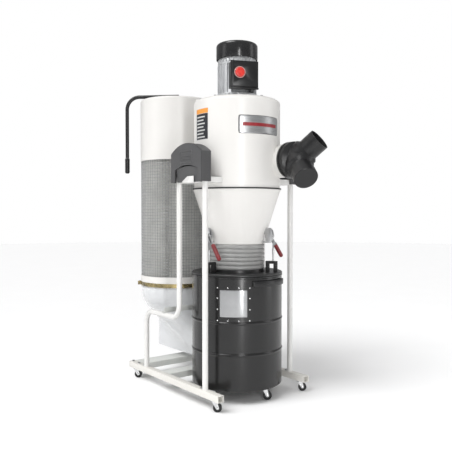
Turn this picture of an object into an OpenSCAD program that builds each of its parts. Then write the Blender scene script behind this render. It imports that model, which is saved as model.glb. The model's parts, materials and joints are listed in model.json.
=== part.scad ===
// Two-stage cyclone dust collector on a wheeled base.
// Frame: +Z up, floor at z = 0, origin at the centre of the footprint.
// -Y is the front, where the drum rolls out and the inlet ports point.

/* [Base] */
// Half width of the base over the rails
base_half_w = 265.3; // [262:0.1:268]
// Width of one rail
rail_w = 30.8; // [28:0.2:32]
// Height of one rail
rail_h = 29; // [26:0.5:30]
// Wall of the rail tube
rail_t = 2; // [1.5:0.1:3]
// Underside of the rails above the floor
rail_z = 49; // [49:0.5:50]
// Half spacing of the posts across the machine
post_x = 250; // [249:0.1:251]
// Diameter of the post tube
post_d = 25.4; // [22:0.2:27]
// Bend radius of the post tube
bend_r = 60; // [50:1:70]

/* [Cyclone] */
// Outer radius of the cyclone barrel
barrel_r = 199; // [197:0.5:200]
// Sheet thickness of barrel, cone and ducts
sheet_t = 2; // [1.5:0.1:2.5]
// Bottom of the barrel
barrel_z0 = 952; // [950:1:955]
// Top of the barrel
barrel_z1 = 1350; // [1348:1:1352]
// Radius of the cone outlet
cone_r = 124; // [120:1:126]
// Outer radius of the inlet pipe
inlet_r = 75; // [72:0.5:75]
// Outer radius of a hose port
port_r = 50; // [49:0.5:51]
// Wall of a hose port
port_t = 3.5; // [3:0.1:4]

/* [Drum] */
// Outer radius of the drum
drum_r = 208.3; // [205:0.1:209]
// Wall of the drum
drum_t = 1.5; // [1.2:0.1:2]
// Top edge of the drum
drum_top = 559.6; // [559:0.1:559.7]
// Top face of the lid
lid_top = 571; // [570:0.5:572]

/* [Filter] */
// Outer radius of the filter canister
filter_r = 192.2; // [190:0.1:193]
// Distance from the cyclone axis to the filter axis
filter_dy = 508.8; // [506:0.2:512]
// Top of the filter head
head_z1 = 1425; // [1415:1:1430]
// Reach of the crank arm
crank_reach = 270; // [262:1:272]

/* [Clamps] */
// Radius of the clamp circle
clamp_r = 165; // [163:0.5:167]
// Swing plane of a clamp lever, measured from its radius
clamp_yaw = 73; // [72:1:75]

/* [Hidden] */
$fn = 64;

// The cyclone axis sits forward of the footprint centre
cyc_y = -150.15;
rail_x0 = base_half_w - rail_w;
rail_y0 = -207;
rail_y1 = 554;
post_r = post_d/2;
front_y = -95;
rear_y = 106;
arm_z = 358;
leg_y = 403;
arch_r = (rear_y - front_y)/2;
arch_z = 1025;
cover_z0 = 975;
plate_z = barrel_z1 + 4;
trail = 12;
trail_dir = -37.6;
base_stem = [[-post_x, -163], [post_x, -163], [-post_x, 510], [post_x, 510]];
drum_stem_r = 167;
drum_stem_a = -80;
clamp_a = [-54.6, -174.6, 65.4];
pivot_s = -13;
pivot_z = 736;
port_len = 62;
jn = [122.5, -270, 1074];
crank_a = 137;
latch_a = 146;

module at0() { translate([0, cyc_y, 0]) children(); }
module at_filter() { translate([0, cyc_y + filter_dy, 0]) children(); }
// Solid of revolution from a closed outline of [r, z] points
module lathe(p, f = 96) { rotate_extrude($fn = f) polygon(p); }
// Ring between two radii and two heights
module ring(r0, r1, z0, z1, f = 96) {
  lathe([[r0, z0], [r1, z0], [r1, z1], [r0, z1]], f);
}
module tube_z(r, t, z0, z1) { ring(r - t, r, z0, z1, 48); }
module hex_bolt(h = 5, af = 13) { cylinder(d = af/cos(30), h = h, $fn = 6); }

// ---------- Base ----------
module rail(s) {
  translate([s > 0 ? rail_x0 : -base_half_w, rail_y0, rail_z])
    difference() {
      cube([rail_w, rail_y1 - rail_y0, rail_h]);
      translate([rail_t, -1, rail_t])
        cube([rail_w - 2*rail_t, rail_y1 - rail_y0 + 2, rail_h - 2*rail_t]);
      for (y = [base_stem[0][1], base_stem[2][1]])
        translate([s > 0 ? post_x - rail_x0 : base_half_w - post_x, y - rail_y0, -1])
          cylinder(r = 5.05, h = 4);
    }
}
module base_rails() { at0() color([0.93, 0.92, 0.87]) { rail(-1); rail(1); } }
// Inverted channel across the base
module cross_channel(y0, y1) {
  w = 2*rail_x0;
  difference() {
    translate([-w/2, y0, rail_z]) cube([w, y1 - y0, rail_h]);
    translate([-w/2 - 1, y0 + 3, rail_z - 1]) cube([w + 2, y1 - y0 - 6, rail_h - 2]);
  }
}
module base_cross_members() {
  at0() color([0.9, 0.89, 0.85]) {
    cross_channel(455, 550);
    cross_channel(217, 290);
  }
}
// Quarter bend of tube in the Y-Z plane, centred on [0, y, z]
module bend(y, z, r, a0, a1) {
  translate([0, y, z]) rotate([90, 0, 90])
    rotate([0, 0, a0]) rotate_extrude(angle = a1 - a0, $fn = 96)
      translate([r, 0]) difference() {
        circle(post_r, $fn = 48); circle(post_r - 1.8, $fn = 48);
      }
}
module side_frame(s) {
  translate([s*post_x, 0, 0]) {
    translate([0, front_y, 0]) tube_z(post_r, 1.8, rail_z + rail_h, arch_z);
    bend((front_y + rear_y)/2, arch_z, arch_r, 0, 180);
    translate([0, rear_y, 0]) tube_z(post_r, 1.8, arm_z + bend_r, arch_z);
    bend(rear_y + bend_r, arm_z + bend_r, bend_r, 180, 270);
    translate([0, rear_y + bend_r, arm_z]) rotate([-90, 0, 0])
      tube_z(post_r, 1.8, 0, leg_y - rear_y - 2*bend_r);
    bend(leg_y - bend_r, arm_z - bend_r, bend_r, 0, 90);
    translate([0, leg_y, 0]) tube_z(post_r, 1.8, rail_z + rail_h, arm_z - bend_r);
  }
}
module side_frames() { at0() color([0.95, 0.95, 0.93]) { side_frame(-1); side_frame(1); } }
// D-shaped outline of a handle cover, in Y (first) and Z: straight sides and
// a shallow circular crown of rise za - zs
function d_outline(y0, y1, z0, zs, za, n = 24) =
  let (yc = (y0 + y1)/2, a = (y1 - y0)/2, h = za - zs, R = (a*a + h*h)/(2*h), t0 = asin(a/R))
  concat([[y0, z0]], [for (i = [0:n]) let (t = -t0 + 2*t0*i/n)
    [yc + R*sin(t), za - R + R*cos(t)]], [[y1, z0]]);
module yz_plate(p, x0, x1) {
  translate([x0, 0, 0]) rotate([90, 0, 90]) linear_extrude(x1 - x0) polygon(p);
}
module handle_cover(s) {
  mirror([s > 0 ? 0 : 1, 0, 0]) difference() {
    union() {
      yz_plate(d_outline(-115, 126, cover_z0, 1104, 1144.5), 233, 280);
      yz_plate(d_outline(-112, 123, cover_z0, 1102, 1142), 279.5, 283);
    }
    yz_plate(d_outline(-110.5, 121.5, cover_z0 - 1, 1099, 1139.5), 236, 279);
    yz_plate(d_outline(-88, 92, cover_z0 - 1, 1030, 1049), 277, 284);
  }
}
module handle_covers() { at0() color([0.27, 0.27, 0.28]) { handle_cover(-1); handle_cover(1); } }
module arm_cross_brace() {
  at0() color([0.66, 0.67, 0.68])
    difference() {
      translate([-263, 216, arm_z + post_r]) cube([526, 26, 24]);
      translate([-264, 219, arm_z + post_r + 3]) cube([528, 24, 22]);
      for (s = [-1, 1]) translate([s*post_x, 230.5, arm_z]) cylinder(r = 4.2, h = 30);
    }
}
// Folded plate from the barrel to the two posts of one side
module barrel_bracket(s) {
  mirror([s > 0 ? 0 : 1, 0, 0]) difference() {
    union() {
      translate([120, -108, 971.5]) cube([124, 227, 3]);
      translate([120, -78, 971.5]) cube([143, 168, 3]);
      translate([120, -108, 974]) cube([112.5, 3, 22]);
      translate([120, 116, 974]) cube([112.5, 3, 22]);
      yz_plate([[-32, 971.5], [55, 971.5], [55, 980], [14, 1001], [-32, 1001]], 265, 268);
      translate([262, -32, 971.5]) cube([4, 87, 3]);
    }
    translate([0, 0, 960]) cylinder(r = barrel_r, h = 60, $fn = 128);
    for (y = [front_y, rear_y]) translate([post_x, y, 960]) cylinder(r = post_r + 0.3, h = 60);
  }
}
module barrel_brackets() { at0() color([0.88, 0.88, 0.86]) { barrel_bracket(-1); barrel_bracket(1); } }
module frame_bolts() {
  at0() color([0.62, 0.63, 0.64]) {
    for (s = [-1, 1]) {
      // brace bolts
      translate([s*post_x, 230.5, arm_z + post_r + 3]) { hex_bolt(); translate([0, 0, -2.9]) cylinder(r = 4, h = 4); }
      // bolts on the rails beside the post feet and over the rear cross member
      for (y = [-69, 429, 480, 540])
        translate([s*post_x, y, rail_z + rail_h]) { cylinder(r = 7, h = 1.2); hex_bolt(5, 11); }
    }
    // screws of the blower top plate
    for (i = [0:9]) rotate([0, 0, 18 + 36*i]) translate([174, 0, plate_z]) { cylinder(r = 7, h = 1.2); hex_bolt(4.5, 10); }
    // bolts of the motor ears
    for (i = [0:3]) rotate([0, 0, 45 + 90*i]) translate([103, 0, plate_z + 9]) { hex_bolt(5, 11); translate([0, 0, -12.9]) cylinder(r = 4, h = 14); }
  }
}

// ---------- Cyclone ----------
module cyclone_barrel() {
  r = barrel_r; t = sheet_t; z1 = barrel_z1; c = 13;
  at0() color([0.94, 0.94, 0.92]) difference() {
    union() {
      lathe(concat([[r - t, barrel_z0], [r, barrel_z0]],
        [for (i = [0:6]) [r - c + c*cos(i*15), z1 - c + c*sin(i*15)]],
        [[158, z1], [158, z1 - t]],
        [for (i = [6:-1:0]) [r - c + (c - t)*cos(i*15), z1 - c + (c - t)*sin(i*15)]]), 128);
      difference() {
        translate([jn[0], -226, jn[2]]) rotate([-90, 0, 0]) cylinder(r = inlet_r, h = 216, $fn = 96);
        translate([0, 0, 900]) cylinder(r = r - t, h = 400, $fn = 128);
      }
      // rolled rim at the mouth of the inlet
      translate([jn[0], -226, jn[2]]) rotate([-90, 0, 0]) cylinder(r = inlet_r + 4, h = 7, $fn = 96);
    }
    translate([jn[0], -230, jn[2]]) rotate([-90, 0, 0]) cylinder(r = inlet_r - t, h = 216, $fn = 96);
    translate([-9, 150, 1236]) cube([103, 60, 98]);
  }
}
module blower_top_plate() {
  at0() color([0.93, 0.93, 0.91]) difference() {
    ring(12, 183, barrel_z1, plate_z);
    for (i = [0:3]) rotate([0, 0, 45 + 90*i]) translate([103, 0, barrel_z1 - 1]) cylinder(r = 4.2, h = 8);
  }
}
module flange_gasket() { at0() color([0.1, 0.1, 0.1]) ring(194, 205, 946, 952); }
module cyclone_cone() {
  r = barrel_r; t = sheet_t;
  at0() color([0.94, 0.94, 0.92])
    lathe([[r - t, 938], [cone_r - t, 702], [cone_r - t - 4, 698], [cone_r - t - 4, 668],
      [cone_r - 4, 668], [cone_r - 4, 697], [cone_r, 701], [r, 937], [203, 942], [203, 946], [r - 5, 946], [r - 5, 942]], 128);
}
module vortex_tube() {
  at0() color([0.8, 0.81, 0.82]) {
    // divider under the impeller with the central outlet tube
    lathe([[73, 1000], [75, 1000], [75, 1205], [90, 1222], [196.6, 1222], [196.6, 1224], [89, 1224], [73, 1206]]);
  }
}

// ---------- Inlet connector ----------
// Arm of the connector, leaning 44 degrees off the inlet axis
module on_arm(k) {
  translate(jn) rotate([90, 0, 0]) rotate([0, 0, 64*1]) rotate([0, k*44, 0]) children();
}
module y_connector() {
  at0() color([0.13, 0.13, 0.14]) difference() {
    union() {
      translate([jn[0], -238, jn[2]]) rotate([-90, 0, 0]) cylinder(r = 82, h = 12, $fn = 96);
      translate([jn[0], -262, jn[2]]) rotate([-90, 0, 0]) cylinder(r = 79, h = 30, $fn = 96);
      translate([jn[0], -262, jn[2]]) rotate([-90, 0, 0]) cylinder(r = 82, h = 19, $fn = 96);
      translate([jn[0], -276, jn[2]]) rotate([-90, 0, 0]) cylinder(r1 = 62, r2 = 82, h = 14, $fn = 96);
      for (k = [-1, 1]) on_arm(k) {
        translate([0, 0, -6]) cylinder(r = 62, h = 60, $fn = 96);
        translate([0, 0, 54]) cylinder(r1 = 62, r2 = port_r, h = 12, $fn = 96);
        translate([0, 0, 60]) cylinder(r = port_r, h = 135 - 60, $fn = 96);
      }
    }
    translate([jn[0], -266, jn[2]]) rotate([-90, 0, 0]) cylinder(r = 73, h = 50, $fn = 96);
    for (k = [-1, 1]) on_arm(k) {
      translate([0, 0, -8]) cylinder(r = 57, h = 58, $fn = 96);
      translate([0, 0, 49.9]) cylinder(r1 = 57, r2 = port_r - port_t, h = 12, $fn = 96);
      translate([0, 0, 60]) cylinder(r = port_r - port_t, h = 80, $fn = 96);
    }
    // inside of the barrel pipe stays free of the connector's far wall
    translate([jn[0], -226, jn[2]]) rotate([-90, 0, 0]) cylinder(r = 120, h = 60, $fn = 96);
  }
}
module port_cap() {
  at0() color([0.12, 0.12, 0.13]) on_arm(-1) difference() {
    union() {
      translate([0, 0, 104]) cylinder(r = port_r + 3, h = 34.5, $fn = 96);
      translate([0, 0, 138.5]) cylinder(r1 = port_r + 3, r2 = port_r + 0.5, h = 2.5, $fn = 96);
    }
    translate([0, 0, 103]) cylinder(r = port_r + 0.05, h = 32.3, $fn = 96);
  }
}
// Thin plate curved to the barrel, between two angles and two heights
module curved_plate(r0, r1, a0, a1, z0, z1) {
  rotate([0, 0, a0]) rotate_extrude(angle = a1 - a0, $fn = 128)
    translate([r0, z0]) square([r1 - r0, z1 - z0]);
}
module blank_plates() {
  at0() color([0.8, 0.81, 0.82]) {
    curved_plate(barrel_r, barrel_r + 1.8, -127, -64, 1184, 1264);
    curved_plate(barrel_r, barrel_r + 0.8, 166, 192, 1165, 1302);
  }
}
module outlet_duct() {
  at0() color([0.93, 0.93, 0.91]) difference() {
    union() {
      translate([-15, 165, 1228]) cube([115, 190, barrel_z1 - 1228]);
      translate([-15, 186, 1300]) cube([115, 169, 107]);
    }
    translate([-13, 150, 1230]) cube([111, 210, barrel_z1 - 1232]);
    translate([-13, 188, 1300]) cube([111, 172, 105]);
    translate([0, 0, 1200]) cylinder(r = barrel_r, h = barrel_z1 - 1200, $fn = 128);
    translate([0, filter_dy, 1200]) cylinder(r = filter_r, h = 230, $fn = 128);
  }
}

// ---------- Motor ----------
module motor_housing() {
  at0() color([0.72, 0.73, 0.74]) {
    difference() {
      union() {
        // barrel and lower end bell
        lathe([[20, plate_z], [95, plate_z], [95, 1380], [91, 1384], [82, 1384], [82, 1510],
          [88, 1516], [88, 1543], [20, 1543], [20, 1538], [76, 1538], [76, 1364], [20, 1364]]);
        for (i = [0:23]) rotate([0, 0, 15*i + 3.7]) translate([79, -2.2, 1382]) cube([11.5, 4.4, 132]);
        // mounting ears
        for (i = [0:3]) rotate([0, 0, 45 + 90*i]) translate([88, -12, plate_z]) cube([24, 24, 9]);
      }
      for (i = [0:3]) rotate([0, 0, 45 + 90*i]) translate([103, 0, plate_z - 1]) cylinder(r = 4.2, h = 14);
      // air slots of both end bells
      for (i = [0:29]) rotate([0, 0, 12*i + 6]) {
        translate([83, -2.2, 1363]) cube([20, 4.4, 13]);
        translate([81, -2.2, 1522]) cube([20, 4.4, 14]);
      }
      // seat of the switch box
      rotate([0, 0, -113.3]) translate([83.8, -50, 1393.5]) cube([20, 100, 117]);
    }
  }
}
module motor_stator() {
  at0() color([0.55, 0.35, 0.2]) { ring(50, 75.9, 1400, 1500); ring(54, 72, 1388, 1400); ring(54, 72, 1500, 1512); }
}
module motor_bearings() {
  at0() color([0.7, 0.71, 0.72]) { ring(9.05, 19.9, 1355, 1365); ring(9.05, 19.9, 1538, 1543); }
}
module rotor_shaft() {
  at0() color([0.6, 0.61, 0.63]) {
    translate([0, 0, 1236]) cylinder(r = 9, h = 352);
    ring(9, 48.5, 1402, 1498);
    // cooling fan pressed on the shaft
    translate([0, 0, 1562]) difference() { cylinder(r = 22, h = 18); translate([0, 0, -1]) cylinder(r = 9, h = 20); }
    for (i = [0:7]) rotate([0, 0, 45*i]) translate([21, -1.5, 1562]) cube([57, 3, 16]);
  }
}
module impeller() {
  at0() color([0.62, 0.63, 0.65]) {
    ring(9, 152, 1330, 1333);
    ring(9, 26, 1250, 1330);
    for (i = [0:7]) rotate([0, 0, 45*i]) translate([30, -1.5, 1248]) cube([118, 3, 82]);
  }
}
module fan_cover() {
  r = 95.5; z0 = 1543.4; z1 = 1616; c = 14;
  at0() color([0.1, 0.1, 0.1]) difference() {
    lathe(concat([[r - 2.5, z0], [r, z0]],
      [for (i = [0:6]) [r - c + c*cos(i*15), z1 - c + c*sin(i*15)]],
      [[30, z1], [30, z1 - 2.5]],
      [for (i = [6:-1:0]) [r - c + (c - 2.5)*cos(i*15), z1 - c + (c - 2.5)*sin(i*15)]]));
    // air slots in the crown
    for (j = [0:2]) difference() {
      ring(38 + 14*j, 44 + 14*j, 1610, 1620, 64);
      for (i = [0:5]) rotate([0, 0, 60*i]) translate([0, -3, 1600]) cube([100, 6, 30]);
    }
  }
}
module on_box() { rotate([0, 0, -113.3 + 90]) children(); }
module switch_box() {
  at0() color([0.11, 0.11, 0.12]) on_box() difference() {
    union() {
      translate([-61, -122, 1394]) cube([122, 38, 116]);
      // cord gland under the box
      translate([40, -103, 1378]) cylinder(r = 10, h = 17);
    }
    translate([-58, -123, 1397]) cube([116, 34, 110]);
    translate([40, -103, 1370]) cylinder(r = 5.5, h = 40);
  }
}
module switch_box_cover() {
  at0() color([0.11, 0.11, 0.12]) on_box() difference() {
    union() {
      translate([-63.5, -128, 1391]) cube([127, 6, 122]);
      translate([-58, -135, 1399]) cube([116, 8, 106]);
      translate([-63.5, -135, 1388]) cube([127, 13, 6]);
    }
    translate([-54, -131, 1403]) cube([108, 10, 98]);
    translate([-23.6, -140, 1460]) rotate([-90, 0, 0]) cylinder(r = 21.5, h = 30);
  }
}
module power_button() {
  at0() color([0.78, 0.08, 0.07]) on_box() translate([-23.6, -143, 1460]) rotate([-90, 0, 0]) {
    cylinder(r1 = 18, r2 = 21, h = 3);
    translate([0, 0, 3]) cylinder(r = 21, h = 9);
    translate([0, 0, 12]) cylinder(r = 8, h = 14);
  }
}

// ---------- Hose, lid and clamps ----------
hose_z0 = 583; hose_z1 = 697;
function hose_pts(n, ro, ri) = [for (i = [0:n - 1]) let (z = hose_z0 + (hose_z1 - hose_z0)*i/(n - 1)) [i % 2 == 0 ? ri : ro, z]];
module flex_hose() {
  a = hose_pts(13, 128, 122.5);
  at0() color([0.62, 0.63, 0.63])
    lathe(concat(a, [for (i = [12:-1:0]) [a[i][0] - 1.5, a[i][1]]]), 96);
}
module drum_lid() {
  at0() color([0.33, 0.33, 0.34])
    lathe([[108, 560], [208.3, 560], [209.5, 562], [209.5, 568], [207, lid_top], [130, lid_top], [129, 583],
      [120.4, 583], [119.8, 632], [117.8, 632], [117.8, 575], [108, 575]], 128);
}
module on_clamp(i) {
  rotate([0, 0, clamp_a[i]]) translate([clamp_r, 0, 0]) rotate([0, 0, clamp_yaw]) children();
}
// Side ear of a clamp bracket, in the swing plane, at one local y
module xz_plate(p, y0, y1) {
  translate([0, y1, 0]) rotate([90, 0, 0]) linear_extrude(y1 - y0) polygon(p);
}
module clamp_brackets() {
  at0() color([0.6, 0.61, 0.62]) difference() {
    for (i = [0:2]) on_clamp(i) {
      for (y = [[-14, -11], [9, 12]]) difference() {
        xz_plate([[-30, 704], [-14, 716], [-3, 729], [-3, 743], [-10, 760], [-30, 772]], y[0], y[1]);
        translate([pivot_s, y[0] - 1, pivot_z]) rotate([-90, 0, 0]) cylinder(r = 4.05, h = 5);
      }
      // base plate with an upper web and a lower foot on the cone
      translate([-33, -14, 704]) cube([3, 28, 68]);
      translate([-33, 13, 744]) cube([3, 20, 28]);
      translate([-33, 13, 704]) cube([3, 34, 9]);
      translate([pivot_s, -16, pivot_z]) rotate([-90, 0, 0]) cylinder(r = 4, h = 30);
      translate([pivot_s, -18, pivot_z]) rotate([-90, 0, 0]) cylinder(r = 6.5, h = 4);
    }
    lathe([[0, 690], [cone_r - 0.5 , 690], [cone_r, 701], [barrel_r, 937], [0, 937]], 128);
  }
}
module clamp_lever(i) {
  at0() color([0.62, 0.06, 0.07]) on_clamp(i) difference() {
    translate([pivot_s, 0, pivot_z]) rotate([0, 43, 0]) {
      // steel arm
      translate([-9, -3, -9]) cube([70, 6, 16]);
      // grip
      translate([58, 0, 0]) rotate([0, 90, 0]) { cylinder(r = 9.5, h = 82, $fn = 32); translate([0, 0, 82]) sphere(r = 9.5, $fn = 32); }
    }
    translate([pivot_s, -10, pivot_z]) rotate([-90, 0, 0]) cylinder(r = 4.05, h = 20);
  }
}
module clamp_lever_1() clamp_lever(0);
module clamp_lever_2() clamp_lever(1);
module clamp_lever_3() clamp_lever(2);
module clamp_draw_rods() {
  at0() color([0.14, 0.14, 0.15]) for (i = [0:2]) {
    on_clamp(i) {
      // eye, rod and its cross bar
      difference() {
        union() {
          translate([3, -8.5, 708]) rotate([-90, 0, 0]) cylinder(r = 7, h = 3);
          translate([-1.5, -8.5, 672]) cube([9, 3, 36]);
        }
        translate([3, -10, 708]) rotate([-90, 0, 0]) cylinder(r = 3.5, h = 6);
      }
      translate([3, -7, 620]) cylinder(r = 3.8, h = 57);
      translate([3, -7, 652]) cylinder(r = 5, h = 22);
    }
    rotate([0, 0, clamp_a[i]]) translate([clamp_r, 0, 0]) {
      // pair of keeper blocks standing on the lid, and the bar between them
      for (k = [-1, 1]) translate([k*18.5 - 8, -9, lid_top]) cube([16, 18, 48]);
      translate([-12, -7, 607]) cube([24, 14, 13]);
    }
  }
}

// ---------- Drum ----------
module drum_body() {
  r = drum_r; t = drum_t; b = 3;
  function bead(z, s) = [for (i = [-4:4]) [r - (s ? t : 0) + b*(cos(i*45) + 1)/2, z + i*2.2]];
  difference() {
    lathe(concat([[0, 58], [r - 4, 58], [r, 62]], bead(220, false), bead(359, false),
      [[r, drum_top - 8], [r + 2.2, drum_top - 6], [r + 2.2, drum_top - 1.5], [r + 0.5, drum_top], [r - t - 1, drum_top], [r - t - 1, drum_top - 6], [r - t, drum_top - 8]],
      [for (k = [17:-1:0]) let (q = concat(bead(220, true), bead(359, true))) q[k]],
      [[r - t, 62.5], [r - 4.6, 59.5], [0, 59.5]]), 128);
    // opening behind the window
    rotate([0, 0, -132.8]) translate([150, -48, 398]) cube([100, 96, 96]);
    for (i = [0:3]) rotate([0, 0, drum_stem_a + 90*i]) translate([drum_stem_r, 0, 50]) cylinder(r = 4.05, h = 20);
  }
  // caster plates under the drum
  for (i = [0:3]) rotate([0, 0, drum_stem_a + 90*i]) translate([drum_stem_r, 0, 0]) difference() {
    translate([-22, -22, 55.5]) cube([44, 44, 2.5]);
    translate([0, 0, 50]) cylinder(r = 4.05, h = 20);
  }
}
module drum() { at0() color([0.2, 0.2, 0.21]) drum_body(); }
module drum_window() {
  at0() color([0.75, 0.77, 0.78]) {
    curved_plate(drum_r, drum_r + 1.8, -132.8 - 16.7, -132.8 + 16.7, 387, 505);
    // rivets round the window frame
    for (a = [-19.9, -6.7, 6.7, 19.9]) for (z = [371, 420, 469, 514])
      if (abs(a) > 10 || z < 400 || z > 500)
        rotate([0, 0, -132.8 + a]) translate([drum_r, 0, z]) rotate([0, 90, 0]) cylinder(r1 = 3.6, r2 = 2, h = 2.2, $fn = 20);
  }
}
module drum_handles() {
  at0() color([0.08, 0.08, 0.08]) for (a = [-82, 98]) rotate([0, 0, a]) {
    difference() {
      curved_plate(drum_r, drum_r + 12, -27.5, 27.5, 517, 543);
      curved_plate(drum_r - 1, drum_r + 7.5, -22, 22, 515, 545);
    }
  }
}

// ---------- Filter ----------
module filter_head() {
  r = filter_r; z1 = head_z1; c = 10; t = 2;
  color([0.94, 0.94, 0.92]) difference() {
    at_filter() {
      lathe(concat([[r - 10, 1108.5], [r, 1108.5]],
        [for (i = [0:6]) [r - c + c*cos(i*15), z1 - c + c*sin(i*15)]],
        [[26, z1], [26, z1 + 14], [8.05, z1 + 14], [8.05, z1 - t]],
        [for (i = [6:-1:0]) [r - c + (c - t)*cos(i*15), z1 - c + (c - t)*sin(i*15)]], [[r - t, 1112], [r - 10, 1112]]), 128);
    }
    at0() translate([-9, 300, 1236]) cube([103, 70, 165]);
  }
}
module filter_media() { at_filter() color([0.9, 0.9, 0.88]) ring(164, 183, 484, 1108.4, 128); }
module mesh_guard() { at_filter() color([0.72, 0.72, 0.73]) ring(187.5, 189.5, 513.1, 1108.4, 128); }
module filter_collar() {
  at_filter() color([0.94, 0.94, 0.92])
    lathe([[162, 481], [182.5, 481], [186.5, 481], [186.5, 456], [188, 456], [188, 481], [filter_r, 481], [filter_r, 513], [184, 513], [184, 484], [162, 484]], 128);
}
module band_clamp() {
  at_filter() color([0.75, 0.66, 0.42]) {
    ring(191.6, 193.2, 461, 480.5, 128);
    // anchor of the latch
    rotate([0, 0, latch_a]) {
      translate([192.8, -4, 463]) cube([5.5, 34, 16]);
      for (z = [461.2, 478.6]) translate([192.8, 19, z]) cube([14, 10, 2]);
      translate([203.5, 24, 462]) cylinder(r = 1.45, h = 18, $fn = 24);
    }
  }
}
module band_latch() {
  at_filter() color([0.8, 0.72, 0.5]) rotate([0, 0, latch_a]) difference() {
    union() {
      translate([200.3, -24, 464]) cube([3, 49, 14]);
      translate([203.5, 24, 464]) cylinder(r = 4, h = 14, $fn = 32);
    }
    translate([203.5, 24, 460]) cylinder(r = 1.5, h = 30, $fn = 24);
  }
}
module collection_bag() {
  at_filter() color([0.86, 0.87, 0.87]) hull() {
    translate([0, 0, 453]) cylinder(r = 189, h = 2.5, $fn = 64);
    translate([0, 0, 330]) cylinder(r = 176, h = 2, $fn = 64);
    translate([-16, -198, 105]) cube([32, 396, 3]);
    translate([-30, -196, 200]) cube([60, 392, 3]);
  }
}
module crank_handle() {
  ar = crank_reach; br = 30;
  at_filter() color([0.12, 0.12, 0.12]) {
    translate([0, 0, 1405]) cylinder(r = 8, h = 50);
    rotate([0, 0, crank_a]) {
      translate([-12, 0, 1455]) rotate([0, 90, 0]) cylinder(r = 9.5, h = ar - br + 12, $fn = 48);
      translate([ar - br, 0, 1455 - br]) rotate([90, 0, 0]) rotate_extrude(angle = 90, $fn = 96) translate([br, 0]) circle(9.5, $fn = 48);
      translate([ar, 0, 1125]) cylinder(r = 9.5, h = 1455 - br - 1125, $fn = 48);
      translate([ar, 0, 1057]) cylinder(r = 12.5, h = 68, $fn = 48);
      translate([ar, 0, 1049]) cylinder(r1 = 8, r2 = 12.5, h = 8, $fn = 48);
      translate([ar, 0, 1125]) cylinder(r1 = 12.5, r2 = 9.5, h = 5, $fn = 48);
    }
  }
}
module cleaning_paddles() {
  at_filter() color([0.2, 0.2, 0.2]) {
    translate([0, 0, 520]) cylinder(r = 8, h = 885);
    for (i = [0:1]) rotate([0, 0, 35 + 180*i]) {
      for (z = [560, 800, 1040]) translate([7, -3, z]) cube([122, 6, 20]);
      translate([128, -2, 530]) cube([34, 4, 570]);
    }
  }
}

// ---------- Casters ----------
// Swivel fork hanging from height h, wheel radius r, wheel width w
module fork(h, r, w, stem_r, stem_top) {
  rotate([0, 0, trail_dir]) {
    translate([0, 0, h - 5.5]) cylinder(r = 14, h = 5.1);
    translate([0, 0, h - 1]) cylinder(r = stem_r, h = stem_top - h + 1);
    for (k = [-1, 1]) translate([0, k*(w/2 + 1.8), 0]) rotate([90, 0, 0]) translate([0, 0, -1])
      linear_extrude(2) difference() {
        union() {
          polygon([[-11, h - 4], [11, h - 4], [trail + 6, r + 3], [trail + 4, r - 5], [trail - 5, r - 5]]);
          translate([trail, r]) circle(6.5, $fn = 32);
        }
        translate([trail, r]) circle(2.9, $fn = 32);
      }
    // axle
    translate([trail, -(w/2 + 4), r]) rotate([-90, 0, 0]) cylinder(r = 3, h = w + 8, $fn = 32);
  }
}
module wheel(r, w) {
  rotate([0, 0, trail_dir]) translate([trail, 0, r]) rotate([90, 0, 0]) translate([0, 0, -w/2])
    lathe([[3.05, 0], [7, 0], [7, 1.5], [r - 5, 1.5], [r - 4, 0], [r - 1.5, 0], [r, 1.5], [r, w - 1.5], [r - 1.5, w], [r - 4, w], [r - 5, w - 1.5], [7, w - 1.5], [7, w], [3.05, w]], 64);
}
module base_fork(i) { at0() color([0.7, 0.71, 0.72]) translate([base_stem[i][0], base_stem[i][1], 0]) fork(rail_z, 19, 16, 5, 55); }
module base_wheel(i) { at0() color([0.08, 0.08, 0.08]) translate([base_stem[i][0], base_stem[i][1], 0]) wheel(19, 16); }
module drum_fork(i) { at0() color([0.7, 0.71, 0.72]) rotate([0, 0, drum_stem_a + 90*i]) translate([drum_stem_r, 0, 0]) rotate([0, 0, -drum_stem_a - 90*i]) fork(55.5, 20, 16, 4, 59); }
module drum_wheel(i) { at0() color([0.08, 0.08, 0.08]) rotate([0, 0, drum_stem_a + 90*i]) translate([drum_stem_r, 0, 0]) rotate([0, 0, -drum_stem_a - 90*i]) wheel(20, 16); }
module base_fork_front_left() base_fork(0);
module base_wheel_front_left() base_wheel(0);
module base_fork_front_right() base_fork(1);
module base_wheel_front_right() base_wheel(1);
module base_fork_rear_left() base_fork(2);
module base_wheel_rear_left() base_wheel(2);
module base_fork_rear_right() base_fork(3);
module base_wheel_rear_right() base_wheel(3);
module drum_fork_front() drum_fork(0);
module drum_wheel_front() drum_wheel(0);
module drum_fork_right() drum_fork(1);
module drum_wheel_right() drum_wheel(1);
module drum_fork_rear() drum_fork(2);
module drum_wheel_rear() drum_wheel(2);
module drum_fork_left() drum_fork(3);
module drum_wheel_left() drum_wheel(3);

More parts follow.
